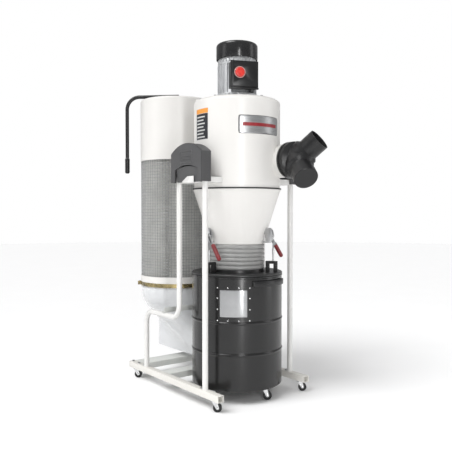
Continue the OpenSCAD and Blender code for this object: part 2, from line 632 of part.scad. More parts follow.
base_rails();
base_cross_members();
side_frames();
handle_covers();
arm_cross_brace();
barrel_brackets();
frame_bolts();
cyclone_barrel();
blower_top_plate();
flange_gasket();
cyclone_cone();
vortex_tube();
y_connector();
port_cap();
blank_plates();
outlet_duct();
motor_housing();
motor_stator();
motor_bearings();
rotor_shaft();
impeller();
fan_cover();
switch_box();
switch_box_cover();
power_button();
flex_hose();
drum_lid();
clamp_brackets();
clamp_lever_1();
clamp_lever_2();
clamp_lever_3();
clamp_draw_rods();
drum();
drum_window();
drum_handles();
filter_head();
filter_media();
mesh_guard();
filter_collar();
band_clamp();
band_latch();
collection_bag();
crank_handle();
cleaning_paddles();
base_fork_front_left();
base_wheel_front_left();
base_fork_front_right();
base_wheel_front_right();
base_fork_rear_left();
base_wheel_rear_left();
base_fork_rear_right();
base_wheel_rear_right();
drum_fork_front();
drum_wheel_front();
drum_fork_right();
drum_wheel_right();
drum_fork_rear();
drum_wheel_rear();
drum_fork_left();
drum_wheel_left();
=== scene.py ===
import bpy, bmesh, math, json, random
from mathutils import Vector, Matrix, noise


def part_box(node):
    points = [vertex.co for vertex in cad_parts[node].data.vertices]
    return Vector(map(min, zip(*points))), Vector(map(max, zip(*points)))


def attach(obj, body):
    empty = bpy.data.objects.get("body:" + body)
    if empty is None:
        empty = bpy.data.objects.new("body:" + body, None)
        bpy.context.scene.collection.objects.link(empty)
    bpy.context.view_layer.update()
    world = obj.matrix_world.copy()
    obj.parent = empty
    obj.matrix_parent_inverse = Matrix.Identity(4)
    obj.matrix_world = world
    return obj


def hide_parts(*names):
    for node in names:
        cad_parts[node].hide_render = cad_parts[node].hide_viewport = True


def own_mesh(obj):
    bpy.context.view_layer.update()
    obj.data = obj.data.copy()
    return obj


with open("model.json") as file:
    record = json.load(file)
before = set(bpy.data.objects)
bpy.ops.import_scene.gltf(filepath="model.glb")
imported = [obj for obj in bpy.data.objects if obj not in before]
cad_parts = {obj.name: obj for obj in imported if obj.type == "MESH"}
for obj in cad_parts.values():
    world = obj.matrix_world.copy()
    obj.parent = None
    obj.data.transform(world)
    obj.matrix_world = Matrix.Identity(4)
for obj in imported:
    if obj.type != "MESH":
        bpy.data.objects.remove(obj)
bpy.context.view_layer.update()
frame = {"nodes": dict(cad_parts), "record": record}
N = frame["nodes"]
BODY = {n: b for b, ns in frame["record"]["behaviour"]["bodies"].items() for n in ns}
SLOT = {s["node"]: s["material_slot"] for s in frame["record"]["subparts"]}
COL = bpy.context.scene.collection
pi = math.pi


def cs(a):
    return math.cos(math.radians(a)), math.sin(math.radians(a))


lo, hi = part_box("cyclone_cone")
CY = (lo.y + hi.y) / 2
lo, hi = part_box("filter_collar")
FY = (lo.y + hi.y) / 2

# ---------------------------------------------------------------- camera, light, floor
cam_d = bpy.data.cameras.new("cam")
cam = bpy.data.objects.new("cam", cam_d)
COL.objects.link(cam)
cam_d.sensor_width = 36
cam_d.lens = 47.89
cam_d.clip_end = 60
cam.location = (-1.7475, -2.1883 + CY, 0.8469)
hd, pt = math.radians(37.57), math.radians(1.4)
view = Vector((math.sin(hd) * math.cos(pt), math.cos(hd) * math.cos(pt), -math.sin(pt)))
cam.rotation_euler = view.to_track_quat("-Z", "Y").to_euler()
sc = bpy.context.scene
sc.camera = cam
sc.view_settings.view_transform = "Standard"
sc.view_settings.look = "None"
sc.view_settings.exposure = 0.0

world = bpy.data.worlds.new("studio")
sc.world = world
world.use_nodes = True
wn = world.node_tree
bg = wn.nodes["Background"]
bg.inputs[1].default_value = 1.0
lp = wn.nodes.new("ShaderNodeLightPath")
wc = wn.nodes.new("ShaderNodeTexCoord")
ws = wn.nodes.new("ShaderNodeSeparateXYZ")
wr = wn.nodes.new("ShaderNodeValToRGB")
wm = wn.nodes.new("ShaderNodeMapRange")
wm.inputs["From Min"].default_value = -1.0
wm.inputs["From Max"].default_value = 1.0
wn.links.new(wc.outputs["Generated"], ws.inputs[0])
wn.links.new(ws.outputs["Z"], wm.inputs["Value"])
wn.links.new(wm.outputs["Result"], wr.inputs["Fac"])
els = wr.color_ramp.elements
els[0].position, els[0].color = 0.0, (0.40, 0.40, 0.405, 1)
els[1].position, els[1].color = 1.0, (0.60, 0.60, 0.60, 1)
e = els.new(0.5)
e.color = (0.30, 0.30, 0.305, 1)
e = els.new(0.7)
e.color = (0.42, 0.42, 0.425, 1)
wx = wn.nodes.new("ShaderNodeMix")
wx.data_type = "RGBA"
wn.links.new(lp.outputs["Is Camera Ray"], wx.inputs["Factor"])
wn.links.new(wr.outputs["Color"], wx.inputs["A"])
wx.inputs["B"].default_value = (1, 1, 1, 1)
wn.links.new(wx.outputs["Result"], bg.inputs[0])


def area(name, loc, target, size, power, color=(1, 1, 1), size_y=None):
    d = bpy.data.lights.new(name, "AREA")
    d.energy = power
    d.size = size
    if size_y:
        d.shape = "RECTANGLE"
        d.size_y = size_y
    d.color = color
    o = bpy.data.objects.new(name, d)
    COL.objects.link(o)
    o.location = loc
    o.rotation_euler = (Vector(target) - Vector(loc)).to_track_quat("-Z", "Y").to_euler()
    return o


rt = Vector((math.cos(hd), -math.sin(hd), 0))   # image right
fw = Vector((math.sin(hd), math.cos(hd), 0))    # away from the camera


def stage_pos(r, f, z):
    return Vector((0, CY, 0)) + rt * r + fw * f + Vector((0, 0, z))


area("strip", stage_pos(0.66, -3.3, 0.95), (0, CY, 0.65), 0.30, 36, (1, 1, 1), 2.0)
area("left", stage_pos(-3.4, -0.9, 1.5), (0, CY, 0.9), 1.2, 10, (1, 1, 1), 2.6)
area("right", stage_pos(3.0, -0.2, 1.4), (0, CY, 0.9), 0.9, 10, (1, 1, 1), 2.6)
sun_d = bpy.data.lights.new("sun", "SUN")
sun_d.energy = 2.4
sun_d.angle = math.radians(38)
sun = bpy.data.objects.new("sun", sun_d)
COL.objects.link(sun)
sun.location = stage_pos(-2.0, -2.0, 4.0)
sun.rotation_euler = (Vector((0, CY, 0.6)) - stage_pos(-2.0, -1.6, 4.0)).to_track_quat("-Z", "Y").to_euler()

# floor
me = bpy.data.meshes.new("floor")
bm = bmesh.new()
rings = [0.0, 1.0, 2.0, 4.0, 8.0, 14.0]
prev = None
for r in rings:
    cur = [bm.verts.new((r * math.cos(i * pi / 24), CY + r * math.sin(i * pi / 24), -0.0005)) for i in range(48)] if r else [bm.verts.new((0, CY, -0.0005))]
    if prev:
        for i in range(48):
            if len(prev) == 1:
                bm.faces.new((prev[0], cur[i], cur[(i + 1) % 48]))
            else:
                bm.faces.new((prev[i], cur[i], cur[(i + 1) % 48], prev[(i + 1) % 48]))
    prev = cur
bm.to_mesh(me)
bm.free()
floor = bpy.data.objects.new("floor", me)
COL.objects.link(floor)

# ---------------------------------------------------------------- materials
MATS = {}


def mat(name, c1, c2=None, rough=(0.35, 0.45), metal=0.0, vscale=3.0, rscale=18.0, bump=0.0, bscale=500.0, bdist=0.0004,
        coat=0.0, coat_rough=0.1, spec=0.5, sheen=0.0, trans=0.0, alpha=1.0, aniso=0.0, stretch=None, dust=None,
        bump2=0.0, b2scale=8.0, b2dist=0.002, ior=1.45):
    """Principled surface whose colour, roughness and relief vary with procedural noise."""
    if name in MATS:
        return MATS[name]
    m = bpy.data.materials.new(name)
    m.use_nodes = True
    nt = m.node_tree
    b = nt.nodes["Principled BSDF"]
    tc = nt.nodes.new("ShaderNodeTexCoord")
    src = tc.outputs["Object"]
    if stretch:
        mp = nt.nodes.new("ShaderNodeMapping")
        mp.inputs["Scale"].default_value = stretch
        nt.links.new(src, mp.inputs["Vector"])
        src = mp.outputs["Vector"]
    c2 = c2 or tuple(v * 0.93 for v in c1)
    n1 = nt.nodes.new("ShaderNodeTexNoise")
    n1.inputs["Scale"].default_value = vscale
    n1.inputs["Detail"].default_value = 5
    n1.inputs["Roughness"].default_value = 0.6
    nt.links.new(src, n1.inputs["Vector"])
    r1 = nt.nodes.new("ShaderNodeValToRGB")
    r1.color_ramp.elements[0].position = 0.35
    r1.color_ramp.elements[0].color = (*c2, 1)
    r1.color_ramp.elements[1].position = 0.65
    r1.color_ramp.elements[1].color = (*c1, 1)
    nt.links.new(n1.outputs["Fac"], r1.inputs["Fac"])
    col = r1.outputs["Color"]
    if dust:
        # dust = (colour, amount, z0, z1): thin dust film, denser on faces that look up
        g = nt.nodes.new("ShaderNodeNewGeometry")
        sx = nt.nodes.new("ShaderNodeSeparateXYZ")
        nt.links.new(g.outputs["Normal"], sx.inputs[0])
        mr = nt.nodes.new("ShaderNodeMapRange")
        mr.inputs["From Min"].default_value = 0.3
        mr.inputs["From Max"].default_value = 1.0
        mr.inputs["To Max"].default_value = dust[1]
        nt.links.new(sx.outputs["Z"], mr.inputs["Value"])
        n4 = nt.nodes.new("ShaderNodeTexNoise")
        n4.inputs["Scale"].default_value = 25
        n4.inputs["Detail"].default_value = 6
        nt.links.new(tc.outputs["Object"], n4.inputs["Vector"])
        mu = nt.nodes.new("ShaderNodeMath")
        mu.operation = "MULTIPLY"
        nt.links.new(mr.outputs["Result"], mu.inputs[0])
        nt.links.new(n4.outputs["Fac"], mu.inputs[1])
        mx = nt.nodes.new("ShaderNodeMix")
        mx.data_type = "RGBA"
        nt.links.new(mu.outputs[0], mx.inputs["Factor"])
        nt.links.new(col, mx.inputs["A"])
        mx.inputs["B"].default_value = (*dust[0], 1)
        col = mx.outputs["Result"]
    nt.links.new(col, b.inputs["Base Color"])
    n2 = nt.nodes.new("ShaderNodeTexNoise")
    n2.inputs["Scale"].default_value = rscale
    n2.inputs["Detail"].default_value = 6
    nt.links.new(src, n2.inputs["Vector"])
    m2 = nt.nodes.new("ShaderNodeMapRange")
    m2.inputs["From Min"].default_value = 0.3
    m2.inputs["From Max"].default_value = 0.7
    m2.inputs["To Min"].default_value = rough[0]
    m2.inputs["To Max"].default_value = rough[1]
    nt.links.new(n2.outputs["Fac"], m2.inputs["Value"])
    nt.links.new(m2.outputs["Result"], b.inputs["Roughness"])
    nrm = None
    if bump > 0:
        n3 = nt.nodes.new("ShaderNodeTexNoise")
        n3.inputs["Scale"].default_value = bscale
        n3.inputs["Detail"].default_value = 3
        nt.links.new(src, n3.inputs["Vector"])
        bp = nt.nodes.new("ShaderNodeBump")
        bp.inputs["Strength"].default_value = bump
        bp.inputs["Distance"].default_value = bdist
        nt.links.new(n3.outputs["Fac"], bp.inputs["Height"])
        nrm = bp.outputs["Normal"]
    if bump2 > 0:
        n5 = nt.nodes.new("ShaderNodeTexNoise")
        n5.inputs["Scale"].default_value = b2scale
        n5.inputs["Detail"].default_value = 2
        nt.links.new(src, n5.inputs["Vector"])
        bp2 = nt.nodes.new("ShaderNodeBump")
        bp2.inputs["Strength"].default_value = bump2
        bp2.inputs["Distance"].default_value = b2dist
        nt.links.new(n5.outputs["Fac"], bp2.inputs["Height"])
        if nrm:
            nt.links.new(nrm, bp2.inputs["Normal"])
        nrm = bp2.outputs["Normal"]
    if nrm:
        nt.links.new(nrm, b.inputs["Normal"])
    b.inputs["Metallic"].default_value = metal
    b.inputs["IOR"].default_value = ior
    b.inputs["Specular IOR Level"].default_value = spec
    b.inputs["Coat Weight"].default_value = coat
    b.inputs["Coat Roughness"].default_value = coat_rough
    b.inputs["Sheen Weight"].default_value = sheen
    b.inputs["Transmission Weight"].default_value = trans
    b.inputs["Alpha"].default_value = alpha
    b.inputs["Anisotropic"].default_value = aniso
    MATS[name] = m
    return m


FINISH = {
    "white_enamel": dict(c1=(0.725, 0.712, 0.69), c2=(0.70, 0.688, 0.665), rough=(0.30, 0.40), bump=0.12, bscale=420, bdist=0.0002, vscale=2.0, coat=0.15, coat_rough=0.22),
    "frame_enamel": dict(c1=(0.72, 0.715, 0.70), c2=(0.69, 0.685, 0.67), rough=(0.25, 0.36), bump=0.12, bscale=500, bdist=0.0002, coat=0.2, coat_rough=0.2),
    "base_enamel": dict(c1=(0.70, 0.685, 0.645), c2=(0.66, 0.645, 0.605), rough=(0.32, 0.45), bump=0.14, bscale=450, bdist=0.0002, coat=0.15, coat_rough=0.25),
    "grey_enamel": dict(c1=(0.60, 0.61, 0.585), c2=(0.54, 0.55, 0.53), rough=(0.35, 0.5), bump=0.12, bscale=450, bdist=0.0002),
    "charcoal_enamel": dict(c1=(0.009, 0.009, 0.0092), c2=(0.006, 0.006, 0.0062), rough=(0.20, 0.26), bump=0.05, bscale=420, bdist=0.0002, vscale=4, spec=0.6),
    "lid_enamel": dict(c1=(0.012, 0.012, 0.0125), c2=(0.009, 0.009, 0.0092), rough=(0.30, 0.38), bump=0.14, bscale=420, bdist=0.0003, coat=0.1, coat_rough=0.3),
    "zinc_steel": dict(c1=(0.56, 0.565, 0.57), c2=(0.46, 0.465, 0.47), rough=(0.28, 0.42), metal=1.0, vscale=30, rscale=60, bump=0.05, bscale=900),
    "bright_steel": dict(c1=(0.72, 0.725, 0.73), c2=(0.60, 0.605, 0.61), rough=(0.16, 0.28), metal=1.0, vscale=30, rscale=80),
    "cast_alu": dict(c1=(0.58, 0.59, 0.60), c2=(0.47, 0.48, 0.49), rough=(0.38, 0.5), metal=0.6, vscale=14, bump=0.25, bscale=350, bdist=0.0004),
    "copper_winding": dict(c1=(0.5, 0.24, 0.1), c2=(0.35, 0.15, 0.06), rough=(0.3, 0.45), metal=0.8, vscale=90),
    "cover_plastic": dict(c1=(0.082, 0.082, 0.084), c2=(0.068, 0.068, 0.07), rough=(0.42, 0.55), bump=0.3, bscale=650, bdist=0.0003, vscale=6, spec=0.5),
    "black_plastic": dict(c1=(0.011, 0.011, 0.0115), c2=(0.008, 0.008, 0.0085), rough=(0.28, 0.38), bump=0.2, bscale=600, bdist=0.0003),
    "black_gloss": dict(c1=(0.014, 0.014, 0.015), c2=(0.010, 0.010, 0.011), rough=(0.18, 0.25), bump=0.05, bscale=300, bdist=0.0003, coat=0.2, coat_rough=0.15),
    "red_button": dict(c1=(0.72, 0.045, 0.03), c2=(0.60, 0.03, 0.022), rough=(0.2, 0.3), vscale=40, coat=0.3, coat_rough=0.1),
    "red_grip": dict(c1=(0.21, 0.012, 0.016), c2=(0.15, 0.008, 0.012), rough=(0.3, 0.42), vscale=40, bump=0.15, bscale=500, coat=0.15, coat_rough=0.2),
    "black_rubber": dict(c1=(0.016, 0.016, 0.016), c2=(0.012, 0.012, 0.012), rough=(0.5, 0.65), bump=0.3, bscale=500, vscale=30),
    "hose_grey": dict(c1=(0.30, 0.30, 0.295), c2=(0.26, 0.26, 0.255), rough=(0.3, 0.42), vscale=20, bump=0.15, bscale=300, coat=0.2, coat_rough=0.2),
    "plate_silver": dict(c1=(0.47, 0.475, 0.48), c2=(0.39, 0.395, 0.40), rough=(0.25, 0.38), metal=0.9, stretch=(1, 1, 60), vscale=8, rscale=12, aniso=0.3),
    "window_clear": dict(c1=(0.36, 0.365, 0.37), c2=(0.29, 0.295, 0.30), rough=(0.12, 0.2), metal=0.35, vscale=6, coat=0.6, coat_rough=0.08),
    "filter_paper": dict(c1=(0.72, 0.72, 0.70), c2=(0.62, 0.62, 0.60), rough=(0.8, 0.92), bump=0.4, bscale=300, bdist=0.0005, vscale=12, sheen=0.3),
    "mesh_wire": dict(c1=(0.42, 0.425, 0.43), c2=(0.33, 0.335, 0.34), rough=(0.4, 0.55), metal=0.7, vscale=60),
    "band_zinc": dict(c1=(0.62, 0.50, 0.24), c2=(0.10, 0.085, 0.05), rough=(0.2, 0.34), metal=0.95, vscale=9, rscale=40),
    "bag_film": dict(c1=(0.66, 0.67, 0.68), c2=(0.60, 0.61, 0.625), rough=(0.12, 0.24), vscale=4, bump2=0.25, b2scale=14, coat=0.5, coat_rough=0.08),
    "wheel_black": dict(c1=(0.016, 0.016, 0.016), c2=(0.012, 0.012, 0.012), rough=(0.4, 0.55), bump=0.2, bscale=700, vscale=60),
}
M = {k: mat(k, **v) for k, v in FINISH.items()}
floor.data.materials.append(mat("floor_pale", (0.93, 0.93, 0.93), (0.92, 0.92, 0.92), rough=(0.6, 0.7), bump=0.05, bscale=60))


# ---------------------------------------------------------------- helpers
def smooth(o, angle=35):
    me = o.data
    for p in me.polygons:
        p.use_smooth = True
    for o2 in bpy.context.selected_objects:
        o2.select_set(False)
    bpy.context.view_layer.objects.active = o
    o.select_set(True)
    try:
        bpy.ops.object.shade_smooth_by_angle(angle=math.radians(angle))
    except Exception:
        pass
    o.select_set(False)


def add(name, bm, material, body, angle=35, replace=None):
    me = bpy.data.meshes.new(name)
    bmesh.ops.recalc_face_normals(bm, faces=bm.faces)
    bm.to_mesh(me)
    bm.free()
    o = bpy.data.objects.new(name, me)
    COL.objects.link(o)
    if material:
        me.materials.append(material)
    smooth(o, angle)
    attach(o, body)
    if replace:
        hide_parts(*([replace] if isinstance(replace, str) else replace))
    return o


def dress(node, material=None, angle=35):
    """Better material and smooth shading on a CAD node that keeps its shape."""
    o = N[node]
    o.data.materials.clear()
    o.data.materials.append(material or M[SLOT[node]])
    smooth(o, angle)
    return o


def refine(node, bevel=0.001, segs=2, angle=32, material=None, name=None, keep=None):
    """A piece with the CAD node's own surfaces and rounded edges."""
    src = N[node]
    bm = bmesh.new()
    bm.from_mesh(src.data)
    bmesh.ops.remove_doubles(bm, verts=bm.verts, dist=2e-5)
    if keep:
        bmesh.ops.delete(bm, geom=[f for f in bm.faces if not keep(f.calc_center_median())], context="FACES")
    bmesh.ops.dissolve_limit(bm, angle_limit=math.radians(2.0), verts=bm.verts, edges=bm.edges)
    es = [e for e in bm.edges if len(e.link_faces) == 2 and e.calc_face_angle(0) > math.radians(angle)]
    if bevel > 0 and es:
        bmesh.ops.bevel(bm, geom=es, offset=bevel, offset_type="OFFSET", segments=segs, profile=0.5, affect="EDGES", clamp_overlap=True)
    return add(name or node + "_finished", bm, material or M[SLOT[node]], BODY[node], replace=node, angle=40)


def lathe(bm, prof, cx, cy, n=128, closed=True, a0=0.0, a1=360.0):
    full = abs(a1 - a0) >= 359.99
    cols = []
    cnt = n if full else n + 1
    for i in range(cnt):
        a = math.radians(a0 + (a1 - a0) * i / n)
        c, s = math.cos(a), math.sin(a)
        cols.append([bm.verts.new((cx + r * c, cy + r * s, z)) for r, z in prof])
    m = len(prof)
    for i in range(n):
        A, B = cols[i], cols[(i + 1) % cnt]
        for j in range(m if closed else m - 1):
            k = (j + 1) % m
            try:
                bm.faces.new((A[j], B[j], B[k], A[k]))
            except ValueError:
                pass
    if not full and closed:
        bm.faces.new(list(reversed(cols[0])))
        bm.faces.new(cols[-1])
    return cols


def sweep(bm, pts, rad, sides=12, cap=True, up=Vector((0, 0, 1))):
    """Round tube along points; rad is one radius or one for each point."""
    rings = []
    n = len(pts)
    pts = [Vector(p) for p in pts]
    prev = None
    for i, p in enumerate(pts):
        t = (pts[min(i + 1, n - 1)] - pts[max(i - 1, 0)]).normalized()
        if prev is None:
            u = up.cross(t)
            if u.length < 1e-4:
                u = Vector((1, 0, 0)).cross(t)
            u.normalize()
        else:
            u = (prev - t * prev.dot(t)).normalized()
        prev = u
        v = t.cross(u)
        r = rad[i] if isinstance(rad, (list, tuple)) else rad
        rings.append([bm.verts.new(p + (u * math.cos(2 * pi * k / sides) + v * math.sin(2 * pi * k / sides)) * r) for k in range(sides)])
    for a, b in zip(rings, rings[1:]):
        for k in range(sides):
            bm.faces.new((a[k], a[(k + 1) % sides], b[(k + 1) % sides], b[k]))
    if cap:
        bm.faces.new(list(reversed(rings[0])))
        bm.faces.new(rings[-1])
    return rings


def rbox(bm, lo, hi, r=0.002, segs=3, xf=None):
    """Box with rounded edges."""
    t = bmesh.new()
    v = [t.verts.new((x, y, z)) for x in (lo[0], hi[0]) for y in (lo[1], hi[1]) for z in (lo[2], hi[2])]
    for q in ((0, 1, 3, 2), (4, 6, 7, 5), (0, 4, 5, 1), (2, 3, 7, 6), (0, 2, 6, 4), (1, 5, 7, 3)):
        t.faces.new([v[i] for i in q])
    bmesh.ops.recalc_face_normals(t, faces=t.faces)
    if r > 0:
        bmesh.ops.bevel(t, geom=list(t.edges), offset=r, offset_type="OFFSET", segments=segs, profile=0.5, affect="EDGES", clamp_overlap=True)
    if xf is not None:
        t.transform(xf)
    tm = bpy.data.meshes.new("t")
    t.to_mesh(tm)
    t.free()
    bm.from_mesh(tm)
    bpy.data.meshes.remove(tm)


def rot_z(a, c=(0, 0, 0)):
    return Matrix.Translation(c) @ Matrix.Rotation(math.radians(a), 4, "Z")


done = set()


def cyl_patch(bm, cx, cy, r0, r1, a0, a1, z0, z1, na=40, nz=8, edge=0.0, corner=0.0):
    """Curved plate with a soft edge; corner rounds its four corners."""
    def shape(u, v):
        w, h = math.radians(a1 - a0) * r1, z1 - z0
        x, y = u * w, v * h
        if corner > 0:
            rx = min(x, w - x)
            ry = min(y, h - y)
            if rx < corner and ry < corner:
                d = math.hypot(corner - rx, corner - ry)
                if d > corner:
                    k = corner / d
                    nx, ny = corner - (corner - rx) * k, corner - (corner - ry) * k
                    x = nx if x < w / 2 else w - nx
                    y = ny if y < h / 2 else h - ny
        return a0 + math.degrees(x / r1), z0 + y
    us = [0, 0.012, 0.03] + [0.03 + 0.94 * i / na for i in range(1, na)] + [0.97, 0.988, 1]
    vs = [0, 0.02, 0.05] + [0.05 + 0.90 * i / nz for i in range(1, nz)] + [0.95, 0.98, 1]
    out = []
    for u in us:
        row = []
        for v in vs:
            a, z = shape(u, v)
            e = 0.0
            if edge > 0 and (u in (0, 1) or v in (0, 1)):
                e = edge
            c, s_ = cs(a)
            row.append((bm.verts.new((cx + (r1 - e) * c, cy + (r1 - e) * s_, z)), bm.verts.new((cx + r0 * c, cy + r0 * s_, z))))
        out.append(row)
    for i in range(len(us) - 1):
        for j in range(len(vs) - 1):
            q = [out[i][j], out[i + 1][j], out[i + 1][j + 1], out[i][j + 1]]
            bm.faces.new([x[0] for x in q])
            bm.faces.new([x[1] for x in reversed(q)])
    m, n = len(us) - 1, len(vs) - 1
    for i in range(m):
        for j in (0, n):
            bm.faces.new((out[i][j][0], out[i + 1][j][0], out[i + 1][j][1], out[i][j][1]))
    for j in range(n):
        for i in (0, m):
            bm.faces.new((out[i][j][0], out[i][j + 1][0], out[i][j + 1][1], out[i][j][1]))
    return out


# ---- filter: pleated media and its wire guard
bm = bmesh.new()
npl = 132
z0, z1 = 0.4842, 1.1082
rows = []
for i in range(npl * 4):
    a = 2 * pi * i / (npl * 4)
    k = (1, 0.5, 0, 0.5)[i % 4]
    ro = 0.1688 + 0.0138 * k
    ri = ro - 0.0022
    c, s_ = math.cos(a), math.sin(a)
    rows.append([bm.verts.new((r * c, FY + r * s_, z)) for r, z in ((ro, z0), (ro, z1), (ri, z1), (ri, z0))])
for i in range(len(rows)):
    A, B = rows[i], rows[(i + 1) % len(rows)]
    for j in range(4):
        bm.faces.new((A[j], B[j], B[(j + 1) % 4], A[(j + 1) % 4]))
add("filter_pleats", bm, M["filter_paper"], "frame_body", angle=80, replace="filter_media")
done.add("filter_media")

bm = bmesh.new()
RW = 0.1883
nw, nr = 79, 41
wz0, wz1 = 0.5133, 1.1083
for i in range(nw):
    a = 2 * pi * i / nw
    sweep(bm, [(RW * math.cos(a), FY + RW * math.sin(a), z) for z in (wz0, wz1)], 0.00105, sides=6, up=Vector((1, 0, 0)))
for j in range(nr):
    z = wz0 + 0.0012 + (wz1 - wz0 - 0.0024) * j / (nr - 1)
    lathe(bm, [(RW - 0.0006 + 0.0012 * math.cos(t * pi / 3), z + 0.0012 * math.sin(t * pi / 3)) for t in range(6)], 0, FY, n=120)
add("guard_wires", bm, M["mesh_wire"], "frame_body", angle=80, replace="mesh_guard")
done.add("mesh_guard")

# ---- flexible hose: rounded ridges
bm = bmesh.new()
h0, h1 = 0.583, 0.697
prof = []
npt = 145
for i in range(npt):
    t = i / (npt - 1)
    z = h0 + (h1 - h0) * t
    ph = t * 6
    k = abs(math.sin(pi * ph)) ** 0.62
    r = 0.1226 + 0.0053 * k
    prof.append((r, z))
inner = [(r - 0.0014, z) for r, z in reversed(prof)]
lathe(bm, prof + inner, 0, CY, n=144)
hose = add("hose_wall", bm, M["hose_grey"], "frame_body", angle=70, replace="flex_hose")
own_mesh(hose)
done.add("flex_hose")

# ---- handle covers: the node's own shape, smooth shaded, with a plain raised frame, a curved scoop and front ribs
dress("handle_covers", angle=25)
done.add("handle_covers")
for sgn, side in ((-1, "left"), (1, "right")):
    bm = bmesh.new()
    y0, y1, za, zb, w = CY - 0.045, CY + 0.049, 1.059, 1.109, 0.0036
    X = sgn * 0.2829
    pts = []
    rr = 0.009
    for cx_, cz_, a0_ in ((y1 - rr, zb - rr, 0), (y0 + rr, zb - rr, 90), (y0 + rr, za + rr, 180), (y1 - rr, za + rr, 270)):
        for k in range(6):
            a = math.radians(a0_ + 18 * k)
            pts.append((cx_ + rr * math.cos(a), cz_ + rr * math.sin(a)))
    ring = []
    n = len(pts)
    for i, (y, z) in enumerate(pts):
        yc, zc = (y0 + y1) / 2, (za + zb) / 2
        nx, nz = y - yc, z - zc
        # section of the raised bead
        t = Vector((pts[(i + 1) % n][0] - pts[i - 1][0], pts[(i + 1) % n][1] - pts[i - 1][1])).normalized()
        nrm = Vector((t.y, -t.x))
        row = []
        for q in range(6):
            b_ = pi * q / 5
            row.append(bm.verts.new((X + sgn * 0.0026 * math.sin(b_), y + nrm.x * w * math.cos(b_), z + nrm.y * w * math.cos(b_))))
        ring.append(row)
    for i in range(n):
        A, B = ring[i], ring[(i + 1) % n]
        for q in range(6):
            bm.faces.new((A[q], B[q], B[(q + 1) % 6], A[(q + 1) % 6]))
    # plain bars inside the frame
    for zz in (1.0755, 1.0885):
        rbox(bm, (min(X, X + sgn * 0.002), y0 + 0.012, zz - 0.003), (max(X, X + sgn * 0.002), y1 - 0.012, zz + 0.003), 0.0008, 2)
    add("cover_frame_" + side, bm, M["cover_plastic"], "frame_body", angle=50)
    # curved scoop behind the hand opening
    bm = bmesh.new()
    grid = []
    for i in range(25):
        y = CY - 0.0885 + 0.181 * i / 24
        u = (i - 12) / 12
        row = []
        for j in range(13):
            v = j / 12
            z = 0.976 + (0.0685 - 0.018 * u * u) * v
            d = 0.2755 - 0.0155 * math.cos(v * pi / 2) ** 0.8 * (1 - 0.55 * u ** 4)
            row.append((bm.verts.new((sgn * d, y, z)), bm.verts.new((sgn * (d - 0.0018), y, z))))
        grid.append(row)
    for i in range(24):
        for j in range(12):
            q = (grid[i][j], grid[i + 1][j], grid[i + 1][j + 1], grid[i][j + 1])
            bm.faces.new([w[0] for w in q])
            bm.faces.new([w[1] for w in reversed(q)])
    for i in range(24):
        for j in (0, 12):
            bm.faces.new((grid[i][j][0], grid[i + 1][j][0], grid[i + 1][j][1], grid[i][j][1]))
    for j in range(12):
        for i in (0, 24):
            bm.faces.new((grid[i][j][0], grid[i][j + 1][0], grid[i][j + 1][1], grid[i][j][1]))
    add("cover_scoop_" + side, bm, M["cover_plastic"], "frame_body", angle=60)
    bm = bmesh.new()
    for k in range(9):
        x = sgn * (0.2385 + 0.0046 * k)
        yf = CY - 0.115
        sweep(bm, [(x, yf, z) for z in (0.979, 1.098)], [0.0008, 0.0008], sides=8, up=Vector((1, 0, 0)))
    add("cover_ribs_" + side, bm, M["cover_plastic"], "frame_body", angle=60)

# ---- crank: round bar with a wide bend and a moulded grip
klo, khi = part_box("crank_handle")
kz = khi.z - 0.0095
ka = math.radians(137)
kd = Vector((math.cos(ka), math.sin(ka), 0))
kr, kb = 0.270, 0.066
ko = Vector((0, FY, 0))
pts = [ko + kd * r + Vector((0, 0, kz)) for r in (-0.0095, 0.03, 0.10, 0.16, kr - kb)]
pts += [ko + kd * (kr - kb + kb * math.sin(t * pi / 36)) + Vector((0, 0, kz - kb + kb * math.cos(t * pi / 36))) for t in range(1, 19)]
zg = klo.z
pts += [ko + kd * kr + Vector((0, 0, z)) for z in (1.33, 1.27, 1.20, zg + 0.083)]
bm = bmesh.new()
sweep(bm, pts, 0.0095, sides=28)
lathe(bm, [(0.0, zg), (0.007, zg), (0.0095, zg + 0.0015), (0.012, zg + 0.006), (0.0125, zg + 0.010)] +
      [(0.0125 - 0.0007 * (k % 2), zg + 0.012 + 0.0045 * k) for k in range(13)] +
      [(0.0125, zg + 0.074), (0.0118, zg + 0.078), (0.0095, zg + 0.0815), (0.0, zg + 0.0815)], (ko + kd * kr).x, (ko + kd * kr).y, n=40, closed=False)
lathe(bm, [(0.0, kz - 0.050), (0.008, kz - 0.050), (0.008, kz), (0.0, kz)], 0, FY, n=32, closed=False)
bmesh.ops.remove_doubles(bm, verts=bm.verts, dist=1e-6)
add("crank_bar", bm, M[SLOT["crank_handle"]], BODY["crank_handle"], angle=50, replace="crank_handle")
done.add("crank_handle")

# ---- plates on the barrel
DARK = mat("plate_edge_dark", (0.05, 0.05, 0.055), (0.035, 0.035, 0.04), rough=(0.3, 0.4), vscale=40)
STRIPE = mat("plate_stripe_red", (0.30, 0.028, 0.034), (0.24, 0.02, 0.026), rough=(0.28, 0.36), vscale=60)
bm = bmesh.new()
cyl_patch(bm, 0, CY, 0.1988, 0.1996, -126.9, -64.1, 1.1842, 1.2638, corner=0.009, edge=0.0003)
add("badge_edge", bm, DARK, "frame_body", angle=60, replace="blank_plates")
bm = bmesh.new()
cyl_patch(bm, 0, CY, 0.1990, 0.2008, -126.2, -64.8, 1.1862, 1.2618, corner=0.0075, edge=0.0006)
add("badge_face", bm, M["plate_silver"], "frame_body", angle=60)
bm = bmesh.new()
cyl_patch(bm, 0, CY, 0.2000, 0.20105, -121.5, -69.5, 1.2165, 1.2315, corner=0.001, edge=0.0002)
add("badge_stripe", bm, STRIPE, "frame_body", angle=60)
